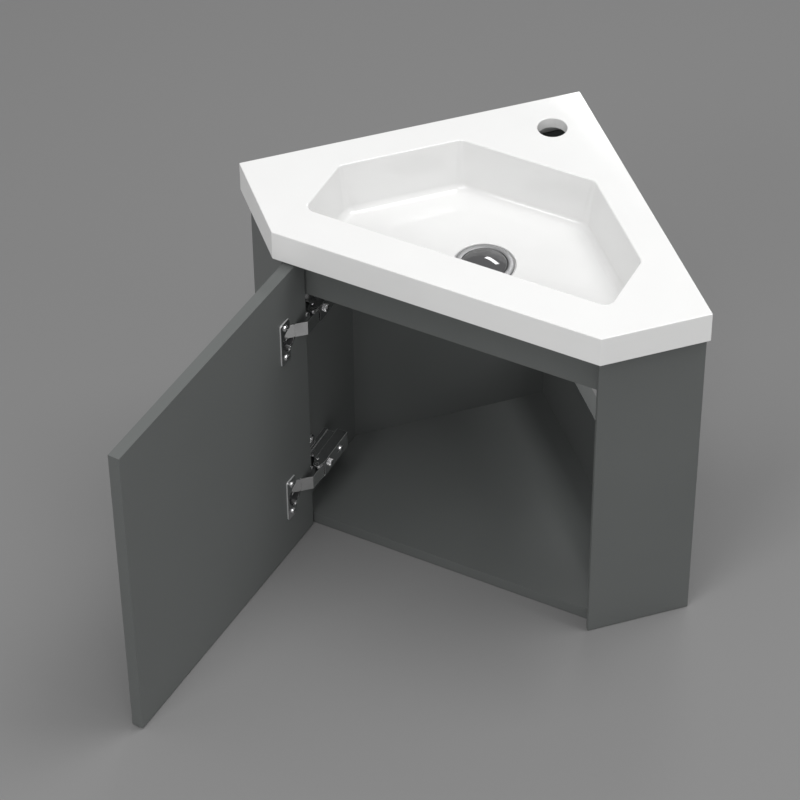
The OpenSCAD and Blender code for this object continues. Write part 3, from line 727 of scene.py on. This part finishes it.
# %% Tap hole and waste recess
def turned(name, profile, steps=96, centre=(0, 0)):
    """A closed solid turned about an upright axis, from a list of (radius, height) from the top down."""
    rings = []
    for radius, z in profile:
        angles = [2 * math.pi * k / steps for k in range(steps)]
        spokes = [(radius * math.cos(a), radius * math.sin(a)) for a in angles]
        rings.append([Vector((centre[0] + x, centre[1] + y, z)) for x, y in spokes])
    return loft(name, rings)


def lip(radius, ease, top, steps):
    """The quarter circle by which a hole widens to its top."""
    angles = [math.pi / 2 * k / steps for k in range(steps + 1)]
    return [(radius + ease * (1 - math.sin(a)), top - ease * (1 - math.cos(a))) for a in angles]


TAP_TO_CORNER = 77 * MM
TAP_R = 17.5 * MM
TAP_EASE = 1.2 * MM
flare = [(TAP_R + TAP_EASE, TOP + MM), *lip(TAP_R, TAP_EASE, TOP, 5), (TAP_R, TOP - DECK - MM)]
join_or_cut(basin, turned("tap_cutter", flare, 96, (0, CORNER_Y - TAP_TO_CORNER)), "DIFFERENCE")

RECESS_Z = LAND_Z - 2.6 * MM
EASE = 1.4 * MM
WASTE_BORE_R = 22.45 * MM
recess = [
    (RECESS_R + EASE, LAND_Z + 2 * MM), *lip(RECESS_R, EASE, LAND_Z, 6), (RECESS_R - 0.6 * MM, RECESS_Z),
]
join_or_cut(basin, turned("recess_cutter", recess, 128), "DIFFERENCE")
bore = [(WASTE_BORE_R, LAND_Z), (WASTE_BORE_R, SHELL_BOTTOM - MM)]
join_or_cut(basin, turned("waste_cutter", bore), "DIFFERENCE")
smooth(basin.data, 24)
flat_faces(basin, 80)
settle(basin, glaze, "cabinet", "ceramic", "basin_deck", "basin_bowl")
print("basin:", len(basin.data.polygons), "faces")

# %% [markdown]
# ## Ring of the waste
# The waste is turned: a flange with a soft outer edge rests in the recess, and its tail runs down
# through the bowl. The Screw modifier could turn it from a line, but a ring written out point by point
# has no seam to merge.

# %% Flange and tail
FLANGE_Z = LAND_Z - 1.6 * MM
TAIL_R = 20.95 * MM


def mm_profile(points, base):
    """Moves a profile in millimetres to its height, in metres."""
    return [(r * MM, base + z * MM) for r, z in points]


def tube(name, outside, inside, steps=128):
    """A turned ring: both profiles run from the top down and meet at the top and at the bottom."""
    shape = bmesh.new()
    points = outside + list(reversed(inside))
    rows = []
    for k in range(steps):
        a = 2 * math.pi * k / steps
        rows.append([shape.verts.new((r * math.cos(a), r * math.sin(a), z)) for r, z in points])
    count = len(points)
    for k in range(steps):
        row, following = rows[k], rows[(k + 1) % steps]
        for m in range(count):
            n = (m + 1) % count
            shape.faces.new((row[m], row[n], following[n], following[m]))
    return closed(name, shape)


outside = mm_profile([
    (27.6, 2.45), (28.1, 2.65), (29.6, 2.8), (31.4, 2.8), (33.0, 2.65), (34.2, 2.3), (34.9, 1.7),
    (35.1, 1.0), (35.1, 0), (21.0, 0), (20.1, -1.2), (20.1, -78),
], FLANGE_Z)
inside = mm_profile([
    (27.4, 2.0), (27.3, 1.0), (26.2, 0.2), (20.5, 0.2), (19.6, -0.6), (18.35, -5.8), (18.35, -78),
], FLANGE_Z)
flange = tube("waste_flange_turned", outside, inside)
smooth(flange.data, 35)
settle(flange, chrome, "cabinet", "chrome", "waste_flange")
print("flange:", len(flange.data.polygons), "faces")

# %% [markdown]
# ## Plug
# The plug is a low dome on a stem. Its one bar of light bends with the dome, so the dome has to be a
# true cap of a sphere and not a scaled ball: its radius follows from its width and its rise.

# %% Plug
PLUG_R = 26.7
PLUG_Z = FLANGE_Z + 2.9 * MM
DOME = 4.5
DOME_STEPS = 14
dome_r = (PLUG_R ** 2 + DOME ** 2) / (2 * DOME)
dome = []
for k in range(1, DOME_STEPS + 1):
    a = math.asin((PLUG_R - 0.7) / dome_r) * k / DOME_STEPS
    dome.append((dome_r * math.sin(a), dome_r * math.cos(a) - dome_r + DOME))
crown = [(0.6, DOME - 0.01)]
edge = [(PLUG_R - 0.2, -0.15), (PLUG_R, -0.6), (PLUG_R - 0.35, -1.2), (PLUG_R - 1.2, -1.6)]
stem = [(18, -2.2), (4, -2.3), (4, -43.2)]
plug = turned("plug_turned", mm_profile(crown + dome + edge + stem, PLUG_Z), 128)
smooth(plug.data, 40)
settle(plug, plug_chrome, "plug", "dark_chrome", "waste_plug")
print("plug made, dome radius", round(dome_r, 1), "mm")

# %% [markdown]
# ## Hinges: where the cups are
# A concealed hinge has a cup sunk in the door, a bent link, and an arm on a plate in the cabinet. In
# the solids, the stub that holds the link belongs to the cup, but on the real hinge it is polished
# like the link. To tell them apart, a point is measured from the cup: how far it is from its axis,
# and how far out of the face of the door. The door stands open by the whole range of its joint, so
# that range gives the direction of the door.

# %% Measuring from a cup
swing = next(joint for joint in frame["joints"] if joint["name"] == "door_swing")
OPEN = math.radians(swing["range_deg"][1])
ALONG_DOOR = Vector((math.cos(OPEN), -math.sin(OPEN), 0))
OUT_OF_DOOR = Vector((math.sin(OPEN), math.cos(OPEN), 0))
CUP_FROM_PIVOT = 30.9 * MM
FACE_FROM_PIVOT = 7.2 * MM
CUP_MIDDLE = Vector(swing["pos_m"]) + CUP_FROM_PIVOT * ALONG_DOOR + FACE_FROM_PIVOT * OUT_OF_DOOR
CUP_HEIGHTS = {"upper": 0.338, "lower": 0.088}
CUP_BORE_R, CUP_R = 15.5, 16
CUP_FLOOR, STUB_TOP, FLANGE_FOOT = -9.4, 1.5, 0.5


def from_cup(point):
    """How far a point is from the axis of its cup, and out of the face of the door, in mm."""
    offset = point - CUP_MIDDLE
    rise = offset.z - min(CUP_HEIGHTS.values(), key=lambda z: abs(offset.z - z))
    return math.hypot(offset.dot(ALONG_DOOR), rise) / MM, offset.dot(OUT_OF_DOOR) / MM


def in_cup(point):
    """True between the walls and above the floor of a cup, where only the stub is."""
    reach, out = from_cup(point)
    return reach < CUP_BORE_R and CUP_FLOOR < out < STUB_TOP


def on_flange(point):
    """True for the upper edges of the flange plate on the face of the door."""
    reach, out = from_cup(point)
    return reach > CUP_R and out > FLANGE_FOOT


print("cup middle:", [round(v / MM, 2) for v in CUP_MIDDLE])

# %% [markdown]
# ## Hinges: cup and stub
# The stub is split off before anything is bevelled, because the narrow gap beside it would clamp the
# bevel of the whole cup to nothing. It becomes a piece of its own on the door. On the cup, only the
# edges of the flange plate are bevelled: the bright lines that mark a hinge from a step away.


# %% Cup and stub
def split_off(piece, wanted, name):
    """Moves the faces for which wanted(middle) holds into a piece of their own."""
    rest, part = bmesh.new(), bmesh.new()
    for shape, keep in ((rest, False), (part, True)):
        shape.from_mesh(piece.data)
        drop = [face for face in shape.faces if wanted(face.calc_center_median()) != keep]
        bmesh.ops.delete(shape, geom=drop, context="FACES")
    mesh = bpy.data.meshes.new(name)
    part.to_mesh(mesh)
    rest.to_mesh(piece.data)
    rest.free()
    part.free()
    return new_piece(name, mesh)


PLATED = [hinge_chrome, hinge_rim]
RIM = PLATED.index(hinge_rim)


def cup_and_stub(side):
    cup = node_copy(side + "_hinge_cup", side + "_hinge_cup_finished")
    stub = split_off(cup, in_cup, side + "_link_stub")
    settle(soften(stub, 0.25 * MM), link_steel, "door", "satin_steel")
    soften(cup, 0.35 * MM, wanted=on_flange, clamp=False)
    for face in cup.data.polygons:
        cut_edge = on_flange(face.center) and abs(face.normal.dot(OUT_OF_DOOR)) < 0.3
        face.material_index = RIM if cut_edge else 0
    settle(cup, PLATED, "door", "hinge_chrome", side + "_hinge_cup")
    print(stub.name, "faces:", len(stub.data.polygons), "cup faces:", len(cup.data.polygons))


print("finishes of a plated piece:", [one.material.name for one in PLATED])

# %% [markdown]
# ## Hinges: link, arm and plate
# These are copies with fine bevels. The bevels of arm and plate get the finish of the rims, as on the
# cup. In the solids, link and stub have a small gap between them for the motion. The tip of the link
# is drawn out over it, so that they look like one strip of steel.

# %% Hinge metal
TIP_REACH = 0.34 * MM
TIP_END = 0.35 * MM


def long_tipped_link(side):
    link = dress(side + "_hinge_link", link_steel, "satin_steel", 0.25)
    for vert in link.data.vertices:
        if (vert.co - CUP_MIDDLE).dot(OUT_OF_DOOR) < TIP_END:
            vert.co += TIP_REACH * (ALONG_DOOR - OUT_OF_DOOR)


for side in CUP_HEIGHTS:
    cup_and_stub(side)
    long_tipped_link(side)
    dress(side + "_hinge_arm", PLATED, "hinge_chrome", 0.6)
    dress(side + "_mounting_plate", PLATED, "hinge_chrome", 0.8)
print("hinges dressed:", len(CUP_HEIGHTS))

# %% [markdown]
# ## Hinges: painted shade in the cups
# Behind its link, a cup lies in shade, where its spring sits. An empty plated cup would shine out
# instead. So a thin dark lining is painted shade there, and stands for the spring and its housing as
# well. It is turned about the upright axis, laid on its side with one matrix and set into each cup.

# %% Painted shade in the cups
LINING_OUTSIDE = [(16.0, -0.7), (16.45, -0.8), (16.45, -9.45), (0.4, -9.45)]
LINING_INSIDE = [(15.9, -0.8), (15.9, -8.2), (15.2, -8.9), (0.4, -8.9)]
for side, height in CUP_HEIGHTS.items():
    outer, inner = mm_profile(LINING_OUTSIDE, 0), mm_profile(LINING_INSIDE, 0)
    # The dark lining is painted shade inside the cup, and stands for the spring too.
    shade_lining = tube(side + "_cup_shade_lining", outer, inner, 64)
    onto_door = Matrix((Vector((0, 0, 1)), ALONG_DOOR, OUT_OF_DOOR)).transposed().to_4x4()
    onto_door.translation = CUP_MIDDLE + Vector((0, 0, height))
    shade_lining.data.transform(onto_door)
    smooth(shade_lining.data, 35)
    settle(shade_lining, plug_chrome, "door", "dark_chrome")
    print(shade_lining.name, "faces:", len(shade_lining.data.polygons))

# %% [markdown]
# ## Pieces from geometry nodes
# Screws, grips and a thread repeat one shape or follow a rule. Copies made in a loop would need the
# loop changed for each size. Each is a small geometry tree with named sizes instead, which ends in
# real instances with a material and is baked to a plain mesh.


# %% A geometry graph that bakes
class Shape(Graph):
    """A geometry node tree whose named inputs are sizes, with one default value each."""

    def __init__(self, name, **sizes):
        self.tree = bpy.data.node_groups.new(name, "GeometryNodeTree")
        face = self.tree.interface
        face.new_socket("Geometry", in_out="INPUT", socket_type="NodeSocketGeometry")
        face.new_socket("Geometry", in_out="OUTPUT", socket_type="NodeSocketGeometry")
        kinds = {int: "NodeSocketInt", float: "NodeSocketFloat", tuple: "NodeSocketVector"}
        for size, value in sizes.items():
            face.new_socket(size, in_out="INPUT", socket_type=kinds[type(value)]).default_value = value
        start = self.tree.nodes.new("NodeGroupInput")
        self.seeds = Value(self, start.outputs["Geometry"])
        self.size = {size: Value(self, start.outputs[size]) for size in sizes}

    def vector(self, *axes):
        return self.node("ShaderNodeCombineXYZ", {}, dict(enumerate(axes)))

    def larger(self, first, second):
        return first.maths("MAXIMUM", first, second)

    def moved(self, geometry, place):
        return self.node("GeometryNodeTransform", {}, {"Geometry": geometry, "Translation": place})

    def box(self, sides, place):
        cube = self.node("GeometryNodeMeshCube", {}, {"Size": self.vector(*sides)}, "Mesh")
        return self.moved(cube, self.vector(*place))

    def reshaped(self, geometry, rule):
        """Moves each point to where the rule puts it. The rule gets and gives x, y and z."""
        place = self.node("GeometryNodeInputPosition", {}, {})
        axes = [self.node("ShaderNodeSeparateXYZ", {}, {0: place}, k) for k in range(3)]
        inputs = {"Geometry": geometry, "Position": self.vector(*rule(*axes))}
        return self.node("GeometryNodeSetPosition", {}, inputs)

    def finish(self, geometry, finish):
        real = self.node("GeometryNodeRealizeInstances", {}, {"Geometry": geometry})
        inputs = {"Geometry": real, "Material": finish.material}
        dressed = self.node("GeometryNodeSetMaterial", {}, inputs)
        end = self.tree.nodes.new("NodeGroupOutput")
        self.tree.links.new(dressed.socket, end.inputs["Geometry"])

    def bake(self, name, points, **sizes):
        """Runs the tree on a mesh of loose points. An input is set by its identifier."""
        mesh = bpy.data.meshes.new(name)
        mesh.from_pydata([tuple(p) for p in points], [], [])
        piece = new_piece(name, mesh)
        run = piece.modifiers.new("shape", "NODES")
        run.node_group = self.tree
        inputs = [item for item in self.tree.interface.items_tree if item.in_out == "INPUT"]
        keys = {item.name: item.identifier for item in inputs}
        for size, value in sizes.items():
            run[keys[size]] = value
        evaluated(piece)
        smooth(piece.data, 35)
        return piece


print("a shape is built with:", [name for name in vars(Shape) if not name.startswith("_")])

# %% [markdown]
# ## Screws: cross, shank and place
# Every screw of the hinges has a cross recess in its head and a plain shank. Only the heads differ, so
# one function takes a head, cuts the cross, adds the shank and sets the screw on every point. A fitter
# leaves the crosses turned at random, and so does the tree, from a fixed seed.

# %% Screws on points
SCREW_SEED = 7
QUARTER_TURN = 1.57
CROSS_LENGTH = 1.15
CROSS_WIDTH = 0.27
CROSS_DEPTH = 0.62
SHANK_TOP = 0.0005


def screws_on_points(shape, head, finish):
    """Cuts the cross, adds the shank and sets one screw on every point."""
    radius, height = shape.size["Head radius"], shape.size["Head height"]
    core, length = shape.size["Core radius"], shape.size["Core length"]
    depth = CROSS_DEPTH * height
    bars = [
        shape.box((CROSS_LENGTH * radius, CROSS_WIDTH * radius, 2 * depth), (0.0, 0.0, height)),
        shape.box((CROSS_WIDTH * radius, CROSS_LENGTH * radius, 2 * depth), (0.0, 0.0, height)),
    ]
    exact = {"operation": "DIFFERENCE", "solver": "EXACT"}
    cut = shape.node("GeometryNodeMeshBoolean", exact, {"Mesh 1": head, "Mesh 2": bars}, "Mesh")
    rod = {"Vertices": 24, "Radius": core, "Depth": length}
    shank = shape.node("GeometryNodeMeshCylinder", {}, rod, "Mesh")
    shank = shape.moved(shank, shape.vector(0.0, 0.0, SHANK_TOP - 0.5 * length))
    screw = shape.node("GeometryNodeJoinGeometry", {}, {"Geometry": [cut, shank]})
    facing = {"Vector": shape.size["Facing"]}
    facing = shape.node("FunctionNodeAlignRotationToVector", {"axis": "Z"}, facing)
    chance = {2: 0.0, 3: QUARTER_TURN, "Seed": SCREW_SEED}
    angle = shape.node("FunctionNodeRandomValue", {"data_type": "FLOAT"}, chance, 1)
    turn = {"Axis": (0, 0, 1), "Angle": angle}
    turn = shape.node("FunctionNodeAxisAngleToRotation", {}, turn)
    turned_head = {"Rotation": facing, "Rotate By": turn}
    place = shape.node("FunctionNodeRotateRotation", {"rotation_space": "LOCAL"}, turned_head)
    inputs = {"Points": shape.seeds, "Instance": screw, "Rotation": place}
    shape.finish(shape.node("GeometryNodeInstanceOnPoints", {}, inputs), finish)


SCREW_SIZES = {
    "Head radius": 0.0042, "Head height": 0.0024, "Core radius": 0.0018, "Core length": 0.011,
    "Facing": (1.0, 0.0, 0.0),
}
print("sizes of a screw:", list(SCREW_SIZES))

# %% [markdown]
# ## Screws: pan head
# A pan head is struck from wire in one blow, so it is full and round on top and flat below. A scaled
# ball would be too thin at its edge. Here the ball is reshaped by a rule: a power fills out its round
# section, and its lower half is pressed flat.

# %% Pan head
pan = Shape("pan_screw", **SCREW_SIZES)
ball = pan.node("GeometryNodeMeshUVSphere", {}, {"Segments": 40, "Rings": 20}, "Mesh")


def pan_rule(x, y, z):
    """A ball becomes a low, full head with a flat seat."""
    across = pan.larger((x * x + y * y) ** 0.5, 0.001)
    spread = across ** -0.35 * pan.size["Head radius"]
    rise = pan.larger(z, 0.0) ** 0.7
    return x * spread, y * spread, rise * pan.size["Head height"]


screws_on_points(pan, pan.reshaped(ball, pan_rule), hinge_chrome)
print("pan screw:", len(pan.tree.nodes), "nodes")

# %% [markdown]
# ## Screws: knurled head
# The adjusting screw of a hinge arm has a drum for a head, with grooves for a thumb. They could be
# cut one by one. A sine of the angle round the drum moves its points in and out instead, so the
# number of grooves is one named value.

# %% Knurled head
knurled = Shape("knurled_screw", Knurls=24, **SCREW_SIZES)
DRUM = {"Vertices": 192, "Side Segments": 8, "Radius": 1.0, "Depth": 1.0}
drum = knurled.node("GeometryNodeMeshCylinder", {}, DRUM, "Mesh")


def knurl_rule(x, y, z):
    """Grooves round the drum, and a chamfer on its last part."""
    angle = y.maths("ARCTAN2", y, x)
    phase = 0.5 * knurled.size["Knurls"] * angle
    wave = knurled.node("ShaderNodeMath", {"operation": "SINE"}, {0: phase})
    ridge = knurled.node("ShaderNodeMath", {"operation": "ABSOLUTE"}, {0: wave})
    chamfer = knurled.larger(z - 0.3, 0.0)
    spread = knurled.size["Head radius"] * (0.90 + 0.10 * ridge - 0.8 * chamfer)
    return x * spread, y * spread, (z + 0.5) * knurled.size["Head height"]


screws_on_points(knurled, knurled.reshaped(drum, knurl_rule), hinge_chrome)
print("screw trees:", [g.name for g in bpy.data.node_groups])

# %% [markdown]
# ## Screws: on the places of their solids
# The solids already say where each screw sits, and places typed again could drift from them. So a
# node's mesh is split into its separate solids, and the middle and the top of each give the seat of
# its head. They are taken in the order of their vertices: a Python set has no fixed order, and each
# run would give the random turns to other screws.


# %% Seats of the screws
def solids_of(node):
    """The vertex places of each separate solid of a node, in the order of their first vertices."""
    shape = bmesh.new()
    shape.from_mesh(frame["nodes"][node].data)
    bmesh.ops.remove_doubles(shape, verts=shape.verts, dist=WELD)
    left = set(shape.verts)
    groups = []
    for first in shape.verts:
        if first not in left:
            continue
        left.remove(first)
        queue = [first]
        group = []
        while queue:
            vert = queue.pop()
            group.append(vert.co.copy())
            for edge in vert.link_edges:
                other = edge.other_vert(vert)
                if other in left:
                    left.remove(other)
                    queue.append(other)
        groups.append(group)
    shape.free()
    return groups


def middle(group, axis):
    return (min(p.dot(axis) for p in group) + max(p.dot(axis) for p in group)) / 2


def head_seats(node, facing, height):
    """The middle of the underside of each screw head."""
    rise = Vector((0, 0, 1))
    aside = facing.cross(rise)
    seats = []
    for group in solids_of(node):
        top = max(p.dot(facing) for p in group)
        seat = facing * (top - height) + aside * middle(group, aside)
        seats.append(seat + rise * middle(group, rise))
    return seats


print("cup screws found:", len(solids_of("cup_screws")))

# %% [markdown]
# ## Screws: all in place
# The door's screws face out of it, and the cabinet's face away from its left side. One call bakes all
# the screws of a node, with the sizes given by name.


# %% Screws in place
def set_screws(tree, node, body, facing, radius, height, length, **more):
    seats = head_seats(node, facing, height)
    sizes = {"Head radius": radius, "Head height": height, "Core length": length}
    piece = tree.bake(node + "_made", seats, Facing=tuple(facing), **sizes, **more)
    print(node, "screws:", len(seats), "faces:", len(piece.data.polygons))
    settle(piece, hinge_chrome, body, "hinge_chrome", node)


ROOMWARDS = Vector((1, 0, 0))
set_screws(pan, "cup_screws", "door", OUT_OF_DOOR, 0.0042, 0.0024, 0.010)
set_screws(pan, "plate_screws", "cabinet", ROOMWARDS, 0.0042, 0.0024, 0.011)
set_screws(pan, "arm_fixing_screws", "cabinet", ROOMWARDS, 0.0044, 0.0028, 0.015)
set_screws(knurled, "arm_adjusting_screws", "cabinet", ROOMWARDS, 0.0050, 0.0030, 0.015, Knurls=24)

# %% [markdown]
# ## Nut under the basin
# A moulded nut with grips draws the waste down on its seal. Its body is a turned ring, and its grips
# are blocks on a circle. An array modifier would need an empty turned by the right angle. A geometry
# tree puts one block on each point of a circle, and the count is one input.


# %% Nut and its grips
def absorb(piece, other):
    """Adds the mesh of another piece to this one."""
    shape = bmesh.new()
    shape.from_mesh(piece.data)
    shape.from_mesh(other.data)
    shape.to_mesh(piece.data)
    shape.free()
    bpy.data.objects.remove(other)


def lift(piece, rise):
    for vert in piece.data.vertices:
        vert.co.z += rise


NUT_TOP = SHELL_BOTTOM - 6 * MM
NUT_HEIGHT = 12 * MM
GRIP_DROP = 7.5 * MM
NUT_R = TAIL_R + 7 * MM
NUT_BORE_R = TAIL_R + 0.1 * MM
grips = Shape("nut_grips", Count=8, Ring=0.0285, Width=0.005, Depth=0.005, Height=0.009)
circle = {"Vertices": grips.size["Count"], "Radius": grips.size["Ring"]}
ring = grips.node("GeometryNodeMeshCircle", {}, circle)
grip = grips.box((grips.size["Depth"], grips.size["Width"], grips.size["Height"]), (0.0, 0.0, 0.0))
spot = grips.node("GeometryNodeInputPosition", {}, {})
outward = grips.node("FunctionNodeAlignRotationToVector", {"axis": "X"}, {"Vector": spot})
on_ring = {"Points": ring, "Instance": grip, "Rotation": outward}
grips.finish(grips.node("GeometryNodeInstanceOnPoints", {}, on_ring), plain_steel)
grip_set = grips.bake("nut_grips", [(0, 0, 0)], Count=8, Ring=NUT_R, Depth=0.005)
lift(grip_set, NUT_TOP - GRIP_DROP)

outside = [
    (NUT_R - MM, NUT_TOP), (NUT_R, NUT_TOP - MM),
    (NUT_R, NUT_TOP - NUT_HEIGHT + MM), (NUT_R - MM, NUT_TOP - NUT_HEIGHT),
]
nut = tube("tail_nut_made", outside, [(NUT_BORE_R, NUT_TOP), (NUT_BORE_R, NUT_TOP - NUT_HEIGHT)])
absorb(nut, grip_set)
smooth(nut.data, 35)
settle(nut, plain_steel, "cabinet", "steel", "tail_nut")
print("nut:", len(nut.data.polygons), "faces")

# %% [markdown]
# ## Thread of the tail
# A rolled thread is one ridge that climbs round the tail. Stacked rings would look much the same, but
# no nut could climb them. The tree sweeps a small round profile along a spiral with named turns.

# %% Thread of the tail
thread = Shape("tail_thread", Turns=24.0, Radius=0.0203, Length=0.048, Ridge=0.0007)
spiral = {
    "Resolution": 48, "Rotations": thread.size["Turns"], "Start Radius": thread.size["Radius"],
    "End Radius": thread.size["Radius"], "Height": thread.size["Length"],
}
coil = thread.node("GeometryNodeCurveSpiral", {}, spiral)
round_bar = {"Resolution": 6, "Radius": thread.size["Ridge"]}
ridge = thread.node("GeometryNodeCurvePrimitiveCircle", {}, round_bar)
sweep = {"Curve": coil, "Profile Curve": ridge, "Fill Caps": True}
thread.finish(thread.node("GeometryNodeCurveToMesh", {}, sweep), chrome)
coil_mesh = thread.bake("tail_thread", [(0, 0, 0)])
THREAD_FOOT = FLANGE_Z - 77.5 * MM
lift(coil_mesh, THREAD_FOOT)
print("thread:", len(coil_mesh.data.polygons), "faces")
absorb(flange, coil_mesh)
smooth(flange.data, 35)

# %% [markdown]
# ## Hidden pieces
# The plug's guide, the seals, the dowels and the hinge pins are plain pieces that no view of the
# whole unit shows well. They keep their own mesh and get a finish alone.

# %% Nodes that keep their own mesh
OWN_MESH = {
    "waste_spider": plain_steel, "flange_gasket": rubber, "tail_gasket": rubber,
    "panel_dowels": beech, "hinge_pins": hinge_chrome,
}
for node, finish in OWN_MESH.items():
    mesh = frame["nodes"][node].data
    mesh.materials.clear()
    mesh.materials.append(finish.material)
print("own mesh:", sorted(OWN_MESH))

# %% [markdown]
# The dressed unit has to fill the same room as its solids.
